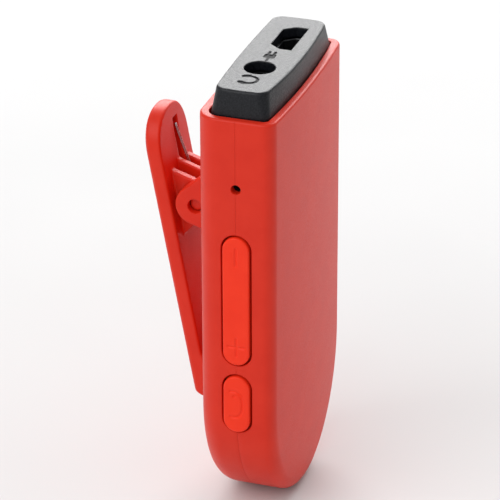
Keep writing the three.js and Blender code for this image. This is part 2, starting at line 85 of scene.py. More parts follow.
# wall thicknesses, and the radii of the walls' inner edges at the rear and at the front
WALL = {"side": 1.1, "back": 1.2, "front": 1.0, "edge": 1.7, "front_edge": 0.6}
CROWN = 0.0029                       # the front face falls away from its middle by CROWN * x * x
INNER_CROWN = 0.0040                 # the same for the front wall's inner face
SEAM = {"y": -5.4, "gap": 0.012, "round": 0.03}
RIM = {"outer": 0.36, "inner": 0.15}
FOOT = {"cut": -13.3, "gap": 0.1, "plug_top": -12.2, "plug_gap": 0.2, "plug_edge": 1.0, "cell": 0.14}

PIN_LOW, PIN_HIGH = box_mm("hinge_pin")
PIN = {"y": (PIN_LOW[1] + PIN_HIGH[1]) / 2, "z": (PIN_LOW[2] + PIN_HIGH[2]) / 2, "radius": 0.88}
EAR = {"outer": 5.15, "left_inner": 3.3, "right_inner": 4.05, "radius": 2.7, "top": 32.3, "foot": 22.0,
       "hole": 0.98}
LEVER = {"half": 5.2, "thick": 2.1, "lean": math.radians(10.4), "hole": 1.0}
WEB = {"radius": 2.45, "fall": 0.33, "foot": 20.2,
       "places": ((-2.95, -1.85, 29.6), (-0.48, 0.48, 30.1), (2.6, 3.7, 29.5))}
PAD = {"arc_z": 31.9, "rise": 5.45, "power": 2.3, "bend": 120, "slot_from": 0.48, "slot_to": 2.0,
       "slot_top": 35.2, "slot_foot": 27.0, "slot_deep": 1.4}
JAW = {"y": 2.07, "z": 0.0, "radius": 1.95}
SPRING = {"wire": 0.18, "coil": 1.75, "pitch": 0.46, "x": 1.15, "top": (8.1, 34.3), "foot": (0.45, 18.6)}

KEY = {"y": -5.45, "width": 3.55, "proud": 0.3, "gap": 0.25, "round": 0.24, "flange": 0.6,
       "flange_thick": 0.5}
ROCKER = {"z": 18.15, "length": 18.15, "wall_gap": 0.4}
SINGLE = {"z": 3.3, "length": 8.1, "wall_gap": 0.45}
MIC = {"z": 33.85, "radius": 0.65}
CUT_FLARE = {"key": 0.13, "mic": 0.08}   # how far the mouths of the side openings widen

CAP = {"y": -5.57, "width": 26.2, "depth": 8.45, "top_width": 24.6, "top_depth": 7.95,
       "corner": 0.9, "top_corner": 1.3, "round": 0.3, "wall": 1.15, "roof": 1.3, "bow": 0.28,
       "side_bow": (0.0036, 0.0032), "top_bow": (0.0064, 0.0045)}
JACK = {"x": -4.65, "y": -5.4, "bore": 1.98}
USB = {"x": 5.38, "y": -5.9, "long": 7.2, "short": 4.9, "depth": 3.05, "square": 1.55}
MARK_DEPTH = 0.1                     # of the two marks sunk into the cap's top
MARK_SHADE_FACES = {"below": 0.035, "spread": 0.12, "under": 0.1}   # which faces of the marks get the painted shade
HEADPHONE = {"x": -8.6, "y": -5.35, "radius": 1.03, "ends": -4.75}
PLUG_Y = -5.45                       # the middle line of the plug mark
FLOOR = {"half": 2000, "quads": 8, "drop": 0.02}


# ---------------------------------------------------------------- distance fields
def round_both(a, b, radius):
    """Where two bodies overlap, with the outward edge between them rounded."""
    corner = np.hypot(np.maximum(radius + a, 0), np.maximum(radius + b, 0))
    return np.minimum(-radius, np.maximum(a, b)) + corner


def round_join(a, b, radius):
    """Two bodies together, with the inward edge between them filleted."""
    corner = np.hypot(np.maximum(radius - a, 0), np.maximum(radius - b, 0))
    return np.maximum(radius, np.minimum(a, b)) - corner


def round_cut(a, b, radius):
    """The first body less the second, with the edge of the cut rounded."""
    return round_both(a, -b, radius)


def span(value, low, high):
    """Distance to the slab between two values."""
    return np.maximum(low - value, value - high)


def polygon_field(u, v, points):
    """Signed distance to a closed outline."""
    nearest = np.full(np.shape(u), np.inf)
    inside = np.zeros(np.shape(u), bool)
    for (u0, v0), (u1, v1) in zip(points, points[1:] + points[:1]):
        du, dv = u1 - u0, v1 - v0
        along = np.clip(((u - u0) * du + (v - v0) * dv) / (du * du + dv * dv), 0, 1)
        nearest = np.minimum(nearest, np.hypot(u - u0 - along * du, v - v0 - along * dv))
        if dv:
            crosses = ((v0 > v) != (v1 > v)) & (u < u0 + (v - v0) * du / dv)
            inside ^= crosses
    return np.where(inside, -nearest, nearest)


def line_field(u, v, points):
    """Distance to an open line through some points."""
    nearest = np.full(np.shape(u), np.inf)
    for (u0, v0), (u1, v1) in zip(points, points[1:]):
        du, dv = u1 - u0, v1 - v0
        along = np.clip(((u - u0) * du + (v - v0) * dv) / (du * du + dv * dv), 0, 1)
        nearest = np.minimum(nearest, np.hypot(u - u0 - along * du, v - v0 - along * dv))
    return nearest


def rectangle_field(u, v, half_u, half_v, corner):
    """Signed distance to a rectangle with round corners about the origin."""
    past_u = np.abs(u) - half_u + corner
    past_v = np.abs(v) - half_v + corner
    outside = np.hypot(np.maximum(past_u, 0), np.maximum(past_v, 0))
    return outside + np.minimum(np.maximum(past_u, past_v), 0) - corner


def pill_field(u, v, width, length):
    """Signed distance to a round-ended slot standing along v."""
    return np.hypot(u, np.maximum(np.abs(v) - (length - width) / 2, 0)) - width / 2


# ---------------------------------------------------------------- meshes
def new_object(name, points, faces):
    """A smooth-shaded mesh object from points in millimetres."""
    mesh = bpy.data.meshes.new(name)
    mesh.from_pydata((np.asarray(points) * MM).tolist(), [], faces)
    mesh.validate()
    mesh.shade_smooth()
    made = bpy.data.objects.new(name, mesh)
    bpy.context.scene.collection.objects.link(made)
    return made


def slopes(field, points, reach):
    """A field's values and its gradients at some points."""
    gradient = np.empty_like(points)
    for axis in range(3):
        step = np.zeros(3)
        step[axis] = reach
        ahead = field(*(points + step).T)
        behind = field(*(points - step).T)
        gradient[:, axis] = (ahead - behind) / (2 * reach)
    return field(*points.T), gradient


def moulded(name, field, low, high, cell):
    """A body from its distance field: one point in each grid cell the surface crosses, set on it."""
    low = np.array(low, float) - 2 * cell
    steps = np.ceil((np.array(high) + 2 * cell - low) / cell).astype(int)
    axes = [low[k] + cell * np.arange(steps[k] + 1) for k in range(3)]
    value = field(*np.meshgrid(*axes, indexing="ij"))
    inside = value < 0

    filled = np.zeros(steps, np.int8)
    for a, b, c in itertools.product((0, 1), repeat=3):
        filled += inside[a:steps[0] + a, b:steps[1] + b, c:steps[2] + c]
    crossed = np.argwhere((filled > 0) & (filled < 8))
    number = np.full(steps, -1)
    number[tuple(crossed.T)] = np.arange(len(crossed))

    total = np.zeros((len(crossed), 3))
    hits = np.zeros(len(crossed))
    for axis in range(3):
        along = np.eye(3, dtype=int)[axis]
        for a, b in itertools.product((0, 1), repeat=2):
            start = np.insert([a, b], axis, 0)
            near = value[tuple((crossed + start).T)]
            far = value[tuple((crossed + start + along).T)]
            hit = (near < 0) != (far < 0)
            share = np.where(hit, near / np.where(hit, near - far, 1), 0)
            total += hit[:, None] * (start + share[:, None] * along)
            hits += hit
    points = low + cell * (crossed + total / hits[:, None])
    for _ in range(3):
        height, gradient = slopes(field, points, cell * 0.02)
        square = np.maximum((gradient ** 2).sum(1), 0.04)
        move = gradient * (height / square)[:, None]
        length = np.maximum(np.linalg.norm(move, axis=1), 1e-12)
        points -= move * np.minimum(1, 0.4 * cell / length)[:, None]

    faces = []
    for axis in range(3):
        lower = inside.take(range(steps[axis]), axis)
        upper = inside.take(range(1, steps[axis] + 1), axis)
        edges = np.argwhere(lower != upper)
        outward = lower[tuple(edges.T)]
        beside, across = (axis + 1) % 3, (axis + 2) % 3
        ring = []
        for back_beside, back_across in ((1, 1), (0, 1), (0, 0), (1, 0)):
            cells = edges.copy()
            cells[:, beside] -= back_beside
            cells[:, across] -= back_across
            ring.append(number[tuple(cells.T)])
        quads = np.stack(ring, 1)
        faces += quads[outward].tolist() + quads[~outward][:, ::-1].tolist()
    return new_object(name, points, faces)


def boolean(target, operation, *others):
    """Cut, join or intersect with other meshes, which are used up."""
    for other in others:
        step = target.modifiers.new("step", "BOOLEAN")
        step.operation = operation
        step.solver = "EXACT"
        step.object = other
    graph = bpy.context.evaluated_depsgraph_get()
    graph.update()
    result = bpy.data.meshes.new_from_object(target.evaluated_get(graph))
    target.modifiers.clear()
    target.data = result
    for other in others:
        bpy.data.objects.remove(other)
    return target


def tidy_shading(target, angle=32):
    """Smooth shading that keeps flat faces flat and corners over an angle sharp."""
    target.data.shade_smooth()
    target.data.set_sharp_from_angle(angle=math.radians(angle))
    weighted = target.modifiers.new("flat_faces", "WEIGHTED_NORMAL")
    weighted.keep_sharp = True
    return target


def block(low, high):
    """A plain cutting block, which never shows itself."""
    corners = list(itertools.product(*zip(low, high)))
    faces = [(0, 1, 3, 2), (4, 6, 7, 5), (0, 4, 5, 1), (2, 3, 7, 6), (0, 2, 6, 4), (1, 5, 7, 3)]
    return new_object("cutter", corners, faces)


# ---------------------------------------------------------------- case shells
def outline_stations():
    """The left half of the case's front view from the bottom up: [x, z, inward x, inward z]."""
    drop = ARC_TOP_Z - BOTTOM_Z
    stations = []
    for turn in np.linspace(math.pi / 2, 0, ARC_ROWS):
        inward = np.array([drop * math.cos(turn), HALF_WIDTH * math.sin(turn)])
        inward /= np.linalg.norm(inward)
        stations.append((-HALF_WIDTH * math.cos(turn), ARC_TOP_Z - drop * math.sin(turn), *inward))
    for z in np.linspace(ARC_TOP_Z, RIM_Z - RIM["outer"], SIDE_ROWS + 1)[1:]:
        stations.append((-HALF_WIDTH, z, 1.0, 0.0))
    return stations


def skin_columns(seam_y, face_y, inset, edge, crown):
    """The section from the seam to the face, as [inset, y, turn].

    turn is 0 on the side and 90 degrees on the face. The corner is an arc that meets the crowned face
    at the same slope.
    """
    way = math.copysign(1, face_y - seam_y)
    reach = HALF_WIDTH - inset - edge
    face_edge = face_y - way * crown * reach ** 2
    last = math.pi / 2 - math.atan(2 * crown * reach)
    across = edge / (1 - math.cos(last))
    straight = face_edge - way * edge
    down = edge / math.sin(last)
    columns = [(inset, y, 0.0) for y in np.linspace(seam_y, straight, 6)[:-1]]
    for turn in np.linspace(0, last, 13):
        y = straight + way * down * math.sin(turn)
        columns.append((inset + across * (1 - math.cos(turn)), y, turn))
    return columns, way


def skin_row(station, columns, way, shift, crown):
    """One row of points from the left seam over the face to the right seam. shift moves it inward."""
    x, z, inward_x, inward_z = station
    left = []
    for inset, y, turn in columns:
        depth = inset + shift * math.cos(turn)
        left.append((x + depth * inward_x, y - way * shift * math.sin(turn), z + depth * inward_z))
    reach = left[-1][0]
    face = []
    for share in np.linspace(-1, 1, 19)[1:-1]:
        rise = crown * reach ** 2 * (1 - share ** 2)
        face.append((-share * reach, left[-1][1] + way * rise, left[-1][2]))
    right = [(-px, py, pz) for px, py, pz in reversed(left)]
    return left + face + right


def case_half(name, seam_y, face_y, wall):
    """One shell of the case: outer skin, rounded rim, inner skin and seam face, as one closed grid."""
    inner_face = face_y - math.copysign(wall, face_y - seam_y)
    front = face_y < seam_y
    crown, inner_crown = (CROWN, INNER_CROWN) if front else (0.0, 0.0)
    edge, inner_edge = (FRONT_EDGE, WALL["front_edge"]) if front else (EDGE, WALL["edge"])
    outer_columns, way = skin_columns(seam_y, face_y, 0.0, edge, crown)
    inner_columns, _ = skin_columns(seam_y, inner_face, WALL["side"], inner_edge, inner_crown)
    soft = SEAM["round"]
    rounding = [(soft * (1 - math.sin(a)), seam_y + way * soft * (1 - math.cos(a)), 0.0)
                for a in (0.0, math.pi / 6, math.pi / 3)]
    outer_columns = rounding + [(0.0, seam_y + way * soft, 0.0)] + outer_columns[1:]
    inner_columns = inner_columns[:1] * (len(rounding) + 1) + inner_columns[1:]
    stations = outline_stations()
    rows = [skin_row(s, outer_columns, way, 0.0, crown) for s in stations]
    for a in np.linspace(0, math.pi / 2, 8)[1:]:
        z = RIM_Z - RIM["outer"] * (1 - math.sin(a))
        top = (-HALF_WIDTH, z, 1.0, 0.0)
        rows.append(skin_row(top, outer_columns, way, RIM["outer"] * (1 - math.cos(a)), crown))
    for a in np.linspace(math.pi / 2, 0, 5):
        z = RIM_Z - RIM["inner"] * (1 - math.sin(a))
        top = (-HALF_WIDTH, z, 1.0, 0.0)
        rows.append(skin_row(top, inner_columns, way, -RIM["inner"] * (1 - math.cos(a)), inner_crown))
    rows += [skin_row(s, inner_columns, way, 0.0, inner_crown) for s in reversed(stations)]
    return closed_grid(name, rows)


def closed_grid(name, rows):
    """Quads over a folded sheet of rows, with its first and last half joined down both side columns."""
    wide = len(rows[0])
    faces = []
    for i, j in itertools.product(range(len(rows) - 1), range(wide - 1)):
        faces.append((i * wide + j, i * wide + j + 1, (i + 1) * wide + j + 1, (i + 1) * wide + j))
    outer_rows = ARC_ROWS + SIDE_ROWS
    for i in range(outer_rows - 1):
        k = len(rows) - 1 - i
        for j, flip in ((0, False), (wide - 1, True)):
            quad = (i * wide + j, (i + 1) * wide + j, (k - 1) * wide + j, k * wide + j)
            faces.append(quad[::-1] if flip else quad)
    low = outer_rows - 1
    high = len(rows) - outer_rows
    for j, flip in ((0, False), (wide - 1, True)):
        side = tuple(i * wide + j for i in range(low, high + 1))
        faces.append(side[::-1] if flip else side)
    made = new_object(name, [p for row in rows for p in row], faces)
    weld(made)
    return made


def weld(target):
    """Merge points that meet, drop flat faces and turn every face outward."""
    work = bmesh.new()
    work.from_mesh(target.data)
    bmesh.ops.remove_doubles(work, verts=work.verts, dist=2e-7)
    bmesh.ops.dissolve_degenerate(work, edges=work.edges, dist=1e-7)
    bmesh.ops.recalc_face_normals(work, faces=work.faces)
    work.to_mesh(target.data)
    work.free()
    target.data.shade_smooth()


def side_surface(z):
    """How far out the case's side stands at a height."""
    past = min(0.0, z - ARC_TOP_Z) / (ARC_TOP_Z - BOTTOM_Z)
    return HALF_WIDTH * math.sqrt(1 - past * past)


def pill_ring(grow, width, length, middle_z, half_turn=20):
    """Points round a slot that stands along Z, as [y, z]."""
    radius = width / 2 + grow
    reach = (length - width) / 2
    ring = []
    for end in (1, -1):
        for k in range(half_turn + 1):
            turn = math.pi * k / half_turn
            ring.append((KEY["y"] + end * radius * math.cos(turn),
                         middle_z + end * (reach + radius * math.sin(turn))))
    return ring


def flared_cutter(side, width, length, middle_z, depth, flare):
    """A cutter for a slot in the case's side whose mouth leaves a rounded edge."""
    levels = [(-0.6, flare), (-0.001, flare)]
    for a in np.linspace(0, math.pi / 2, 6)[1:]:
        levels.append((flare * (1 - math.cos(a)), flare * (1 - math.sin(a))))
    levels.append((depth, 0.0))
    points = []
    for down, grow in levels:
        for y, z in pill_ring(grow, width, length, middle_z):
            points.append((side * (side_surface(z) - down), y, z))
    count = len(points) // len(levels)
    faces = []
    for i, j in itertools.product(range(len(levels) - 1), range(count)):
        after = (j + 1) % count
        faces.append((i * count + j, i * count + after, (i + 1) * count + after, (i + 1) * count + j))
    faces.append(tuple(range(count)))
    faces.append(tuple(range(len(points) - count, len(points)))[::-1])
    made = new_object("cutter", points, faces)
    weld(made)
    return made


def case_cutters():
    """Everything that is cut out of both shells: the foot, the keys' slots and the microphone's hole."""
    cutters = [block((-40, -40, -40), (40, 40, FOOT["cut"]))]
    for side, key in itertools.product((-1, 1), (ROCKER, SINGLE)):
        wide = KEY["width"] + 2 * KEY["gap"]
        tall = key["length"] + 2 * KEY["gap"]
        cutters.append(flared_cutter(side, wide, tall, key["z"], 3.0, CUT_FLARE["key"]))
    bore = 2 * MIC["radius"]
    cutters.append(flared_cutter(-1, bore, bore, MIC["z"], 2.0, CUT_FLARE["mic"]))
    return cutters


def front_shell():
    """The front half of the case, with the slots cut out."""
    shell = case_half("front_shell_skin", SEAM["y"] - SEAM["gap"] / 2, FACE_Y, WALL["front"])
    return tidy_shading(boolean(shell, "DIFFERENCE", *case_cutters()))


def about_pin(radius, angle):
    """A point at an angle in degrees on a circle about the hinge pin, as (y, z)."""
    turn = math.radians(angle)
    return PIN["y"] + radius * math.cos(turn), PIN["z"] + radius * math.sin(turn)


def hinge_ear(inner, outer):
    """A moulded ear that spreads into the rear face through a small fillet."""
    points = [(-1.0, EAR["top"]), (0.0, EAR["top"]), about_pin(EAR["radius"], 48), (PIN["y"], PIN["z"]),
              about_pin(EAR["radius"], -68), (0.0, EAR["foot"]), (-1.0, EAR["foot"])]
    fillet = 0.45
    low = (inner - fillet, -0.5, EAR["foot"] - fillet)
    high = (outer + fillet, PIN["y"] + EAR["radius"], EAR["top"] + fillet)

    def field(x, y, z):
        about = np.hypot(y - PIN["y"], z - PIN["z"])
        side = np.minimum(polygon_field(y, z, points), about - EAR["radius"])
        ear = round_both(side, span(x, inner, outer), 0.22)
        ear = round_cut(ear, about - EAR["hole"], 0.12)
        rooted = round_join(ear, y + 0.04, fillet)
        footprint = np.maximum(span(x, low[0], high[0]), span(z, low[2], high[2]))
        return np.maximum(np.maximum(rooted, footprint), -0.45 - y)

    return moulded("ear", field, low, high, 0.13)


def rear_shell():
    """The rear half of the case, with the slots cut out and the two ears added."""
    shell = case_half("rear_shell_skin", SEAM["y"] + SEAM["gap"] / 2, BACK_Y, WALL["back"])
    boolean(shell, "DIFFERENCE", *case_cutters())
    ears = hinge_ear(-EAR["outer"], -EAR["left_inner"]), hinge_ear(EAR["right_inner"], EAR["outer"])
    return tidy_shading(boolean(shell, "UNION", *ears))


def bottom_cap():
    """The oval end of the case below the joint, with its plug inside the walls."""
    top = FOOT["cut"] - FOOT["gap"]
    drop = ARC_TOP_Z - BOTTOM_Z
    plug_top, gap = FOOT["plug_top"], FOOT["plug_gap"]
    face = FACE_Y + CROWN * (HALF_WIDTH - FRONT_EDGE) ** 2

    def case_field(x, y, z, inset, front_edge, edge, front, back):
        across = np.abs(x) / (HALF_WIDTH - inset)
        down = np.maximum(ARC_TOP_Z - z, 0) / (drop - inset)
        size = np.hypot(across, down)
        slope = np.hypot(across / (HALF_WIDTH - inset), down / (drop - inset)) / np.maximum(size, 1e-9)
        outline = (size - 1) / np.maximum(slope, 1e-9)
        fronted = round_both(outline, front - y, front_edge)
        return round_both(fronted, y - back, edge)

    def field(x, y, z):
        foot = round_both(case_field(x, y, z, 0.0, FRONT_EDGE, EDGE, face, BACK_Y), z - top, 0.08)
        plug = case_field(x, y, z, WALL["side"] + gap, FOOT["plug_edge"], WALL["edge"],
                          face + WALL["front"] + gap, BACK_Y - WALL["back"] - gap)
        return np.minimum(foot, round_both(plug, z - plug_top, 0.15))

    low, high = (-8, FACE_Y, BOTTOM_Z), (8, BACK_Y, plug_top)
    return moulded("bottom_cap_skin", field, low, high, FOOT["cell"])


# ---------------------------------------------------------------- port cap
def usb_outline(grow):
    """The receptacle's outline: square to the front and chamfered to the rear."""
    front = USB["y"] - USB["depth"] / 2 - grow
    back = USB["y"] + USB["depth"] / 2 + grow
    half = USB["long"] / 2 + grow
    short_half = USB["short"] / 2 + grow * 0.7
    shoulder = USB["y"] - USB["depth"] / 2 + USB["square"]
    x = USB["x"]
    return [(x - half, front), (x + half, front), (x + half, shoulder), (x + short_half, back),
            (x - short_half, back), (x - half, shoulder)]


def headphone_mark(x, y):
    """A headband with an earpiece on each end, opening toward the rear."""
    middle_x, radius = HEADPHONE["x"], HEADPHONE["radius"]
    band = [(middle_x - radius, HEADPHONE["ends"])]
    band += [(middle_x - radius * math.cos(a), HEADPHONE["y"] - radius * math.sin(a))
             for a in np.linspace(0, math.pi, 13)]
    band.append((middle_x + radius, HEADPHONE["ends"]))
    mark = line_field(x, y, band) - 0.17
    for end, tilt in ((-1, 0.12), (1, -0.12)):
        middle = middle_x + end * (radius - 0.02)
        ear = line_field(x, y, [(middle - tilt, -5.0), (middle + tilt, -4.4)]) - 0.3
        mark = np.minimum(mark, ear)
    return mark


def plug_mark(x, y):
    """A small plug: a tail, a body and two prongs."""
    tail = line_field(x, y, [(-2.4, PLUG_Y), (-1.5, PLUG_Y)]) - 0.16
    body = rectangle_field(x + 0.9, y - PLUG_Y, 0.55, 0.72, 0.22)
    mark = np.minimum(tail, body)
    for prong_y in (-5.82, -5.08):
        prong = line_field(x, y, [(-0.5, prong_y), (0.45, prong_y)]) - 0.15
        mark = np.minimum(mark, prong)
    return mark


def port_cap():
    """The black plug: tapered above the rim, hollow below, with its two ports and two marks."""
    top, bottom = CAP_HIGH[2], CAP_LOW[2]

    def field(x, y, z):
        rise = np.clip((z - RIM_Z) / (top - RIM_Z), 0, 1)
        half_x = (CAP["width"] + rise * (CAP["top_width"] - CAP["width"])) / 2
        half_y = (CAP["depth"] + rise * (CAP["top_depth"] - CAP["depth"])) / 2
        away = (y - CAP["y"]) / (CAP["depth"] / 2)
        bowed_x = np.abs(x) + CAP["bow"] * away ** 2
        foot_bow, top_bow = (np.where(x < 0, *CAP[name]) for name in ("side_bow", "top_bow"))
        bow = foot_bow + rise * (top_bow - foot_bow)
        bowed_y = np.abs(y - CAP["y"]) + np.where(y < CAP["y"], bow, bow * 0.4) * x ** 2
        corner = CAP["corner"] + rise * (CAP["top_corner"] - CAP["corner"])
        outline = rectangle_field(bowed_x, bowed_y, half_x, half_y, corner)
        body = round_both(outline, z - top, CAP["round"])
        body = np.maximum(body, bottom - z)
        hollow = rectangle_field(x, y - CAP["y"], CAP["width"] / 2 - CAP["wall"],
                                 CAP["depth"] / 2 - CAP["wall"], 0.8)
        body = round_cut(body, np.maximum(hollow, z - top + CAP["roof"]), 0.15)
        bore = np.hypot(x - JACK["x"], y - JACK["y"]) - JACK["bore"]
        body = round_cut(body, bore, 0.13)
        body = round_cut(body, polygon_field(x, y, usb_outline(0.0)), 0.1)
        marks = np.minimum(headphone_mark(x, y), plug_mark(x, y))
        return round_cut(body, np.maximum(marks, top - MARK_DEPTH - z), 0.03)

    half = np.array([CAP["width"], CAP["depth"]]) / 2
    return moulded("port_cap_skin", field, (-half[0], CAP["y"] - half[1], bottom),
                   (half[0], CAP["y"] + half[1], top), 0.105)


def usb_receptacle():
    """The bent sheet shell just inside the opening; its edge shows as a thin bright line."""
    low, high = box_mm("usb_shell")

    def field(x, y, z):
        sheet = polygon_field(x, y, usb_outline(0.13)) - 0.12
        body = np.maximum(sheet, span(z, low[2], high[2]))
        inside = polygon_field(x, y, usb_outline(-0.28)) - 0.14
        return round_cut(body, np.maximum(inside, low[2] + 0.4 - z), 0.06)

    return moulded("usb_shell_skin", field, low, high, 0.13)


# ---------------------------------------------------------------- side keys
def minus_mark(y, z):
    """The short bar at the top of the long key."""
    return line_field(y, z, [(-5.5, 23.4), (-5.5, 25.7)])


def plus_mark(y, z):
    """The cross at the bottom of the long key."""
    upright = line_field(y, z, [(-5.5, 10.5), (-5.5, 12.95)])
    return np.minimum(upright, line_field(y, z, [(-6.55, 11.7), (-4.45, 11.7)]))


def rocker_mark(y, z):
    """Both marks of the long key."""
    return np.minimum(minus_mark(y, z), plus_mark(y, z))


def hook_mark(y, z):
    """A half-oval that opens toward the rear, with a dot inside its upper end."""
    turns = np.linspace(math.radians(90), math.radians(-90), 13)
    arc = [(-5.1 - 1.2 * math.cos(a), 3.3 + 1.9 * math.copysign(abs(math.sin(a)) ** 0.75, a))
           for a in turns]
    loop = [(-4.65, 5.15), *arc, (-4.7, 1.5)]
    return np.minimum(line_field(y, z, loop), np.hypot(y + 5.15, z - 4.45) - 0.05)


def side_key(name, node, side, key, mark=None):
    """A key with a rounded face, its flange inside, and a shallow mark if it is given one."""
    low, high = box_mm(node)
    face = HALF_WIDTH + KEY["proud"]
    flange_outer = HALF_WIDTH - WALL["side"] - key["wall_gap"]
    flange_inner = flange_outer - KEY["flange_thick"]

    def field(x, y, z):
        out = side * x
        stem = pill_field(y - KEY["y"], z - key["z"], KEY["width"], key["length"])
        body = round_both(stem, out - face, KEY["round"])
        body = np.maximum(body, flange_inner - out)
        if mark:
            body = round_cut(body, np.hypot(mark(y, z), out - face - 0.06) - 0.2, 0.05)
        flange = rectangle_field(y - KEY["y"], z - key["z"], KEY["width"] / 2 + KEY["flange"],
                                 key["length"] / 2 + KEY["flange"], 1.2)
        flange = np.maximum(flange, span(out, flange_inner, flange_outer))
        return round_join(body, flange, 0.1)

    low[0] = flange_inner if side > 0 else -face
    high[0] = face if side > 0 else -flange_inner
    return moulded(name, field, low, high, 0.1)


# ---------------------------------------------------------------- clip
def lever_middle(z):
    """Where the lever's middle line lies at a height: straight, then bending inward at the pad."""
    past = np.maximum(0, z - PAD["arc_z"])
    return JAW["y"] + 0.93 + math.tan(LEVER["lean"]) * (z - 0.4) - past * past / PAD["bend"]


def lever_outline(x, z):
    """Straight sides and an arched finger pad, seen from behind."""
    across = np.abs(x) / LEVER["half"]
    up = np.maximum(z - PAD["arc_z"], 0) / PAD["rise"]
    power = PAD["power"]
    total = np.maximum(across ** power + up ** power, 1e-9)
    size = total ** (1 / power)
    slope = np.hypot(across ** (power - 1) / LEVER["half"], up ** (power - 1) / PAD["rise"])
    slope = slope * total ** (1 / power - 1)
    return (size - 1) / np.maximum(slope, 1e-3)


def lever_web(x, y, z, place):
    """A web from the plate to the pin: its top falls toward the case and it is round about the pin."""
    start, end, top = place
    rooted = [float(lever_middle(h)) - LEVER["thick"] / 3 for h in (top, WEB["foot"])]
    nose_y = PIN["y"] + 0.3
    points = [(rooted[0], top), (nose_y, top - WEB["fall"] * (rooted[0] - nose_y)),
              about_pin(WEB["radius"], 165), (PIN["y"], PIN["z"]), about_pin(WEB["radius"], -100),
              (rooted[1], WEB["foot"])]
    side = np.minimum(polygon_field(y, z, points), np.hypot(y - PIN["y"], z - PIN["z"]) - WEB["radius"])
    return round_both(side, span(x, start, end), 0.16)


def clip_lever():
    """The clip: a leaning plate with its jaw, three webs, the pin hole and the slot."""
    neck = [(JAW["y"] - 1.37, 1.4), (JAW["y"] + 1.83, -0.6),
            (float(lever_middle(4)) + 1, 4.0), (float(lever_middle(4)) - 1, 4.0)]

    def field(x, y, z):
        away = (y - lever_middle(z)) * math.cos(LEVER["lean"])
        outer_face = away - LEVER["thick"] / 2
        inner_face = -away - LEVER["thick"] / 2
        outline = lever_outline(x, z)
        plate = np.maximum(np.maximum(outer_face, inner_face), 2.0 - z)
        jaw = np.hypot(y - JAW["y"], z - JAW["z"]) - JAW["radius"]
        side = round_join(plate, np.minimum(jaw, polygon_field(y, z, neck)), 0.5)
        body = round_both(side, outline, 0.3)
        body = np.maximum(body, round_both(outline, outer_face, 0.75))
        for place in WEB["places"]:
            body = round_join(body, lever_web(x, y, z, place), 0.22)
        body = round_cut(body, np.hypot(y - PIN["y"], z - PIN["z"]) - LEVER["hole"], 0.1)
        slot = np.maximum(span(x, PAD["slot_from"], PAD["slot_to"]),
                          span(z, PAD["slot_foot"], PAD["slot_top"]))
        slot = np.maximum(slot, np.maximum(-inner_face - PAD["slot_deep"], PIN["y"] + 2.6 - y))
        return round_cut(body, slot, 0.08)

    low, high = box_mm("clip_lever")
    return moulded("clip_lever_skin", field, low, high, 0.15)


def hinge_pin():
    """A turned pin with chamfered ends."""
    reach = PIN_HIGH[0]

    def field(x, y, z):
        about = np.hypot(y - PIN["y"], z - PIN["z"]) - PIN["radius"]
        return round_both(about, np.abs(x) - reach, 0.2)

    return moulded("hinge_pin_skin", field, PIN_LOW, PIN_HIGH, 0.11)


def tube(name, path, radius, sides=12):
    """A round wire along a path, with its section carried without twist and domed ends."""
    path = np.array(path, float)
    ahead = np.gradient(path, axis=0)
    ahead /= np.linalg.norm(ahead, axis=1)[:, None]
    across = np.cross(ahead[0], (1.0, 0.2, 0.1))
    points = []
    for place, way in zip(path, ahead):
        across = across - way * np.dot(across, way)
        across /= np.linalg.norm(across)
        other = np.cross(way, across)
        for k in range(sides):
            turn = 2 * math.pi * k / sides
            points.append(place + radius * (across * math.cos(turn) + other * math.sin(turn)))
    faces = []
    for i, j in itertools.product(range(len(path) - 1), range(sides)):
        after = (j + 1) % sides
        faces.append((i * sides + j, i * sides + after, (i + 1) * sides + after, (i + 1) * sides + j))
    for ring, end, way in ((0, path[0], -ahead[0]), (len(path) - 1, path[-1], ahead[-1])):
        points.append(end + way * radius * 0.5)
        middle = len(points) - 1
        for j in range(sides):
            edge = (ring * sides + j, ring * sides + (j + 1) % sides)
            faces.append((*edge[::-1], middle) if ring == 0 else (*edge, middle))
    made = new_object(name, points, faces)
    weld(made)
    return made


def coil_tangent(place, clockwise):
    """The angle where a line from a far (y, z) touches the coil."""
    away = math.hypot(place[0] - PIN["y"], place[1] - PIN["z"])
    bearing = math.atan2(place[1] - PIN["z"], place[0] - PIN["y"])
    return bearing + (-1 if clockwise else 1) * math.acos(SPRING["coil"] / away)


def clip_spring():
    """The torsion spring: a leg in the pad's slot, a coil on the pin and a leg on the rear face."""
    start = coil_tangent(SPRING["top"], True)
    sweep = 4 * math.pi + start - coil_tangent(SPRING["foot"], False)

    def on_coil(share):
        turn = start - sweep * share
        return np.array([SPRING["x"] + SPRING["pitch"] * sweep * share / (2 * math.pi),
                         PIN["y"] + SPRING["coil"] * math.cos(turn),
                         PIN["z"] + SPRING["coil"] * math.sin(turn)])

    top = np.array([SPRING["x"], *SPRING["top"]])
    foot = np.array([on_coil(1)[0], *SPRING["foot"]])
    path = [top + (on_coil(0) - top) * share for share in np.linspace(0, 1, 14)[:-1]]
    path += [on_coil(share) for share in np.linspace(0, 1, 130)]
    path += [on_coil(1) + (foot - on_coil(1)) * share for share in np.linspace(0, 1, 14)[1:]]
    return tube("clip_spring_wire", path, SPRING["wire"])


# ---------------------------------------------------------------- materials
def srgb(red, green, blue):
    """A colour given in screen values from 0 to 255, as linear light."""
    linear = []
    for value in (red, green, blue):
        share = value / 255
        linear.append(share / 12.92 if share <= 0.04045 else ((share + 0.055) / 1.055) ** 2.4)
    return (*linear, 1.0)


def new_material(name):
    """A material, its nodes and its links."""
    made = bpy.data.materials.new(name)
    made.use_nodes = True
    return made, made.node_tree.nodes, made.node_tree.links


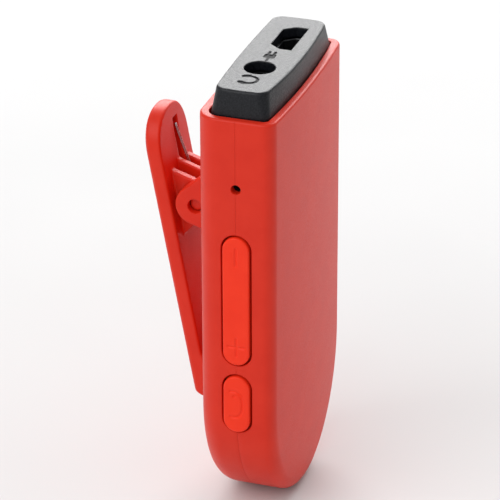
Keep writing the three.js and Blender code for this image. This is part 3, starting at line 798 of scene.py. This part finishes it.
def noise(nodes, links, size_mm, detail=2.0, roughness=0.5):
    """Noise whose blotches are about size_mm across, fixed to the object."""
    place = nodes.new("ShaderNodeTexCoord")
    texture = nodes.new("ShaderNodeTexNoise")
    texture.inputs["Scale"].default_value = 1 / (size_mm * MM)
    texture.inputs["Detail"].default_value = detail
    texture.inputs["Roughness"].default_value = roughness
    links.new(place.outputs["Object"], texture.inputs["Vector"])
    return texture.outputs["Fac"]


NOISE_LOW, NOISE_HIGH = 0.35, 0.65   # nearly all of a noise texture's values lie between these


def between(nodes, links, factor, low, high):
    """A number that follows a noise between two values."""
    scale = nodes.new("ShaderNodeMapRange")
    scale.inputs["From Min"].default_value = NOISE_LOW
    scale.inputs["From Max"].default_value = NOISE_HIGH
    scale.inputs["To Min"].default_value = low
    scale.inputs["To Max"].default_value = high
    links.new(factor, scale.inputs["Value"])
    return scale.outputs["Result"]


def blend(nodes, links, factor, first, second):
    """A colour that follows a noise between two colours."""
    ramp = nodes.new("ShaderNodeValToRGB")
    ramp.color_ramp.elements[0].position = NOISE_LOW
    ramp.color_ramp.elements[0].color = first
    ramp.color_ramp.elements[1].position = NOISE_HIGH
    ramp.color_ramp.elements[1].color = second
    links.new(factor, ramp.inputs["Fac"])
    return ramp.outputs["Color"]


def bump(nodes, links, height, depth_mm, normal=None):
    """A normal that follows a height, on top of another normal if there is one."""
    node = nodes.new("ShaderNodeBump")
    node.inputs["Strength"].default_value = 1.0
    node.inputs["Distance"].default_value = depth_mm * MM
    links.new(height, node.inputs["Height"])
    if normal:
        links.new(normal, node.inputs["Normal"])
    return node.outputs["Normal"]


def moulded_plastic(name, dark, light, roughness, grain_mm, grain_depth, gloss, blotch_mm):
    """Moulded plastic: a fine grain, slightly uneven colour and gloss, and faint flow waves."""
    made, nodes, links = new_material(name)
    shader = nodes["Principled BSDF"]
    shader.inputs["Specular IOR Level"].default_value = gloss
    colour = blend(nodes, links, noise(nodes, links, blotch_mm, 4.0), dark, light)
    links.new(colour, shader.inputs["Base Color"])
    patches = noise(nodes, links, grain_mm * 2, 3.0)
    uneven = between(nodes, links, patches, roughness - 0.04, roughness + 0.05)
    links.new(uneven, shader.inputs["Roughness"])
    waves = bump(nodes, links, noise(nodes, links, 6.0, 1.0), 0.01)
    grain = bump(nodes, links, noise(nodes, links, grain_mm, 3.0, 0.6), grain_depth, normal=waves)
    links.new(grain, shader.inputs["Normal"])
    return made


def drawn_metal(name, dark, light, roughness, along, line_mm=0.05):
    """Metal with fine lines along the way it was drawn or rolled."""
    made, nodes, links = new_material(name)
    shader = nodes["Principled BSDF"]
    shader.inputs["Metallic"].default_value = 1.0
    place = nodes.new("ShaderNodeTexCoord")
    stretch = nodes.new("ShaderNodeMapping")
    stretch.inputs["Scale"].default_value = along
    links.new(place.outputs["Object"], stretch.inputs["Vector"])
    lines = nodes.new("ShaderNodeTexNoise")
    lines.inputs["Scale"].default_value = 1 / (line_mm * MM)
    lines.inputs["Detail"].default_value = 3.0
    links.new(stretch.outputs["Vector"], lines.inputs["Vector"])
    links.new(blend(nodes, links, lines.outputs["Fac"], dark, light), shader.inputs["Base Color"])
    uneven = between(nodes, links, lines.outputs["Fac"], roughness - 0.06, roughness + 0.1)
    links.new(uneven, shader.inputs["Roughness"])
    links.new(bump(nodes, links, lines.outputs["Fac"], 0.003), shader.inputs["Normal"])
    return made


def board_laminate(name):
    """Green solder mask over copper traces: a faint grid of lighter lines under a gloss."""
    made, nodes, links = new_material(name)
    shader = nodes["Principled BSDF"]
    place = nodes.new("ShaderNodeTexCoord")
    tracks = nodes.new("ShaderNodeTexBrick")
    tracks.inputs["Scale"].default_value = 180.0
    tracks.inputs["Mortar Size"].default_value = 0.035
    tracks.inputs["Color1"].default_value = srgb(22, 84, 48)
    tracks.inputs["Color2"].default_value = srgb(26, 92, 54)
    tracks.inputs["Mortar"].default_value = srgb(58, 128, 70)
    turn = nodes.new("ShaderNodeMapping")
    turn.inputs["Rotation"].default_value = (math.pi / 2, 0, 0)
    links.new(place.outputs["Object"], turn.inputs["Vector"])
    links.new(turn.outputs["Vector"], tracks.inputs["Vector"])
    links.new(tracks.outputs["Color"], shader.inputs["Base Color"])
    gloss = between(nodes, links, noise(nodes, links, 1.5), 0.3, 0.45)
    links.new(gloss, shader.inputs["Roughness"])
    links.new(bump(nodes, links, tracks.outputs["Fac"], 0.02), shader.inputs["Normal"])
    return made


def foil_pouch(name):
    """A battery's laminated foil with shallow creases."""
    made, nodes, links = new_material(name)
    shader = nodes["Principled BSDF"]
    shader.inputs["Metallic"].default_value = 0.6
    creases = noise(nodes, links, 2.2, 5.0, 0.55)
    links.new(blend(nodes, links, creases, srgb(150, 154, 158), srgb(186, 189, 192)),
              shader.inputs["Base Color"])
    links.new(between(nodes, links, creases, 0.3, 0.48), shader.inputs["Roughness"])
    links.new(bump(nodes, links, creases, 0.08), shader.inputs["Normal"])
    return made


# name: dark colour, light colour, roughness, grain mm, grain depth mm, gloss, blotch mm
PLASTICS = {
    "red_case": ((0.70, 0.024, 0.007, 1), (0.73, 0.028, 0.009, 1), 0.40, 0.09, 0.006, 0.26, 3.0),
    "red_key": ((0.93, 0.036, 0.010, 1), (0.96, 0.041, 0.012, 1), 0.36, 0.12, 0.005, 0.2, 3.0),
    "black_cap": ((0.002, 0.003, 0.005, 1), (0.012, 0.013, 0.017, 1), 0.37, 0.2, 0.045, 0.32, 0.2),
    "black_plastic": (srgb(18, 19, 20), srgb(26, 27, 28), 0.45, 0.1, 0.005, 0.5, 3.0),
    "rubber": (srgb(28, 28, 29), srgb(36, 36, 37), 0.75, 0.2, 0.02, 0.3, 3.0),
    "foam": (srgb(36, 36, 37), srgb(52, 52, 53), 0.92, 0.3, 0.12, 0.2, 0.4),
    "chip": (srgb(24, 25, 27), srgb(32, 33, 35), 0.55, 0.06, 0.006, 0.4, 3.0),
    "ferrite": (srgb(52, 54, 57), srgb(66, 68, 71), 0.6, 0.15, 0.015, 0.4, 0.5),
    "lead_red": (srgb(176, 34, 26), srgb(190, 42, 32), 0.45, 0.2, 0.004, 0.5, 3.0),
    "lead_black": (srgb(22, 22, 22), srgb(32, 32, 32), 0.45, 0.2, 0.004, 0.5, 3.0),
    # paler and pinker than the case: painted reflection of the pale floor on the underside
    "foot": ((0.62, 0.075, 0.06, 1), (0.65, 0.085, 0.07, 1), 0.45, 0.09, 0.006, 0.5, 3.0),
    # a duller copy of the cap's black for the marks' floors: painted shade in the sunken marks
    "cap_mark_painted_shade": ((0.006, 0.006, 0.007, 1), (0.009, 0.009, 0.010, 1), 0.6, 0.3, 0.002, 0.15, 3.0),
}
# name: dark colour, light colour, roughness, the scale that stretches its lines
METALS = {
    "steel": (srgb(150, 152, 156), srgb(196, 199, 204), 0.26, (1, 1, 0.1)),
    "silver": (srgb(196, 198, 200), srgb(222, 223, 224), 0.3, (0.1, 1, 1)),
    "gold": (srgb(206, 166, 74), srgb(230, 196, 108), 0.26, (1, 0.1, 1)),
    # dark grey in place of the receptacle's silver: painted shade inside the opening
    "usb_shell_painted_shade": (srgb(70, 71, 73), srgb(96, 97, 99), 0.4, (0.1, 1, 1)),
}


def make_materials():
    """Every finish by its name. Most are named after the record's slots."""
    made = {name: moulded_plastic(name, *settings) for name, settings in PLASTICS.items()}
    made.update({name: drawn_metal(name, *settings) for name, settings in METALS.items()})
    made["board"] = board_laminate("board")
    made["pouch"] = foil_pouch("pouch")
    return made


# ---------------------------------------------------------------- put the object together
MATERIALS = make_materials()


def add(piece, body, slot, *nodes, finish=None):
    """A finished piece takes its finish, stands for its CAD nodes and rides on its body."""
    piece.data.materials.clear()
    piece.data.materials.append(MATERIALS[finish or slot])
    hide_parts(*nodes)
    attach(piece, body)
    return piece


def paint_mark_shade(cap):
    """The floors of the cap's two marks take a duller copy of the cap's black that reads darker: painted
    shade in the sunken marks.
    """
    cap.data.materials.append(MATERIALS["cap_mark_painted_shade"])
    floor = (CAP_HIGH[2] - MARK_SHADE_FACES["below"]) * MM
    lowest = CAP_HIGH[2] - MARK_DEPTH - MARK_SHADE_FACES["under"]
    for face in cap.data.polygons:
        x, y, z = face.center / MM
        near = min(float(headphone_mark(x, y)), float(plug_mark(x, y)))
        if face.center.z < floor and near < MARK_SHADE_FACES["spread"] and z > lowest:
            face.material_index = 1


def build_pieces():
    """Every piece that is remodelled here takes the place of its CAD node."""
    add(front_shell(), "case", "red_case", "front_shell")
    add(rear_shell(), "case", "red_case", "rear_shell")
    # the foot's paler red is painted reflection of the floor
    add(bottom_cap(), "case", "red_case", "bottom_cap", finish="foot")
    cap = add(port_cap(), "case", "black_cap", "port_cap")
    # the marks' floors take the painted shade
    paint_mark_shade(cap)
    # the receptacle's silver is swapped for dark grey metal: painted shade inside the USB opening
    add(usb_receptacle(), "case", "silver", "usb_shell", finish="usb_shell_painted_shade")
    add(hinge_pin(), "case", "red_case", "hinge_pin")
    volume = side_key("volume_rocker_skin", "volume_rocker", -1, ROCKER, rocker_mark)
    add(volume, "volume", "red_key", "volume_rocker")
    power = side_key("power_key_skin", "power_key", -1, SINGLE, hook_mark)
    add(power, "power", "red_key", "power_key")
    add(side_key("skip_rocker_skin", "skip_rocker", 1, ROCKER), "skip", "red_key", "skip_rocker")
    add(side_key("play_key_skin", "play_key", 1, SINGLE), "play", "red_key", "play_key")
    add(clip_lever(), "clip", "red_case", "clip_lever")
    add_spring(clip_spring())


def add_spring(spring):
    """The spring takes its steel finish and stands for its CAD node; it rides on no body and stays where
    it was made.
    """
    spring.data.materials.append(MATERIALS["steel"])
    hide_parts("clip_spring")
    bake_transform(spring)


def finish_inner_nodes():
    """Each CAD node that still shows takes the procedural finish of its slot."""
    for part in frame["record"]["subparts"]:
        node = frame["nodes"][part["node"]]
        if not node.hide_render:
            node.data.materials.clear()
            node.data.materials.append(MATERIALS[part["material_slot"]])


# ---------------------------------------------------------------- floor, light and camera
AIM = Vector((-14.86, -7.48, 26.07)) * MM
CAMERA = {"azimuth": -71.23, "elevation": 26.95, "roll": -0.234, "distance": 403.57 * MM,
          "lens": 232.34, "sensor": 36.0}
WORLD_STRENGTH = 0.5
# name: azimuth, elevation, distance, width, height, radiance
SOFTBOXES = {
    "back_right": (100, 26, 0.9, 0.85, 0.5, 7.2),
    "left": (-118, 44, 0.9, 0.9, 0.7, 2.2),
}


def direction(azimuth, elevation):
    """A unit vector from the object; azimuth 0 is toward the front (-Y) and 90 toward +X."""
    a, e = math.radians(azimuth), math.radians(elevation)
    return Vector((math.sin(a) * math.cos(e), -math.cos(a) * math.cos(e), math.sin(e)))


def make_floor():
    """A broad flat pale sheet just under the object."""
    made = new_object("floor", *floor_grid())
    made.location.z = (BOTTOM_Z - FLOOR["drop"]) * MM
    material, nodes, links = new_material("floor")
    shader = nodes["Principled BSDF"]
    shader.inputs["Roughness"].default_value = 0.9
    shader.inputs["Specular IOR Level"].default_value = 0.1
    clouds = noise(nodes, links, 60.0)
    pale = blend(nodes, links, clouds, (0.70, 0.70, 0.70, 1), (0.72, 0.72, 0.72, 1))
    links.new(pale, shader.inputs["Base Color"])
    made.data.materials.append(material)


def floor_grid():
    """A flat square of quads, 4 m across."""
    count = FLOOR["quads"]
    wide = count + 1
    steps = np.linspace(-FLOOR["half"], FLOOR["half"], wide)
    points = [(x, y, 0.0) for x, y in itertools.product(steps, steps)]
    faces = []
    for i, j in itertools.product(range(count), range(count)):
        faces.append((i * wide + j, (i + 1) * wide + j, (i + 1) * wide + j + 1, i * wide + j + 1))
    return points, faces


def softbox(name, azimuth, elevation, distance, width, height, radiance):
    """A rectangular area light aimed at the object. radiance is how bright its face looks."""
    data = bpy.data.lights.new(name, "AREA")
    data.shape = "RECTANGLE"
    data.size, data.size_y = width, height
    data.energy = radiance * math.pi * width * height
    made = bpy.data.objects.new(name, data)
    way = direction(azimuth, elevation)
    made.location = AIM + way * distance
    made.rotation_mode = "QUATERNION"
    made.rotation_quaternion = way.to_track_quat("Z", "Y")
    bpy.context.scene.collection.objects.link(made)


def make_lights():
    """An even white world and two softboxes."""
    world = bpy.data.worlds.new("studio")
    world.use_nodes = True
    background = world.node_tree.nodes["Background"]
    background.inputs["Color"].default_value = (1.0, 1.0, 1.0, 1)
    background.inputs["Strength"].default_value = WORLD_STRENGTH
    bpy.context.scene.world = world
    for name, settings in SOFTBOXES.items():
        softbox(name, *settings)
    bpy.context.scene.view_settings.view_transform = "Standard"


def make_camera():
    """The camera that was solved for the view."""
    data = bpy.data.cameras.new("camera")
    data.lens = CAMERA["lens"]
    data.sensor_width = CAMERA["sensor"]
    data.clip_start, data.clip_end = 0.01, 10
    made = bpy.data.objects.new("camera", data)
    back = direction(CAMERA["azimuth"], CAMERA["elevation"])
    made.location = AIM + back * CAMERA["distance"]
    made.rotation_mode = "QUATERNION"
    roll = Matrix.Rotation(math.radians(CAMERA["roll"]), 4, "Z").to_quaternion()
    made.rotation_quaternion = back.to_track_quat("Z", "Y") @ roll
    bpy.context.scene.collection.objects.link(made)
    bpy.context.scene.camera = made


build_pieces()
finish_inner_nodes()
make_floor()
make_lights()
make_camera()
